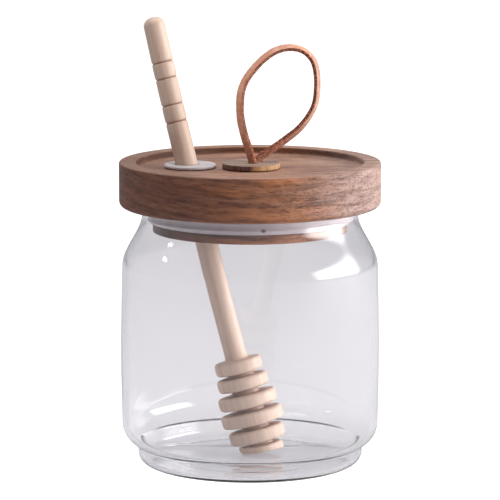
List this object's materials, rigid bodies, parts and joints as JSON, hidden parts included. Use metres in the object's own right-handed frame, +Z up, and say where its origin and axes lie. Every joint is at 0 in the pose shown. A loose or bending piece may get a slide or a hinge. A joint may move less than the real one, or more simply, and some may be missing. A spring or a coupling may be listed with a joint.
{
  "type": "honey pot with dipper",
  "caption": "Clear glass honey jar with a turned wooden lid, a silicone seal, a leather lace loop on the lid and a wooden dipper leaning through a grommet into the jar.",
  "frame": {"origin": "on the jar's axis, at the plane that the glass foot stands on", "axes": "+Z up along the jar's axis; +X to the right in the picture, away from the dipper's handle; -Y towards the camera"},
  "size_m": [0.1, 0.1, 0.1712],
  "materials": {
    "clear_glass": "clear, polished, thin-walled, no colour",
    "brown_wood": "satin oiled hardwood with long darker grain",
    "seal_silicone": "translucent whitish silicone, soft sheen",
    "grommet_silicone": "translucent white silicone, soft sheen",
    "button_wood": "thin wooden disc, partly yellowish, matt",
    "pale_wood": "bare pale beech, turned, matt",
    "tan_leather": "copper tan lace with darker raw edges"
  },
  "bodies": {
    "root": {"glass_jar": "clear_glass", "lid": "brown_wood", "lid_seal": "seal_silicone", "grommet": "grommet_silicone", "button": "button_wood", "dipper": "pale_wood", "leather_loop": "tan_leather"}
  },
  "joints": []
}
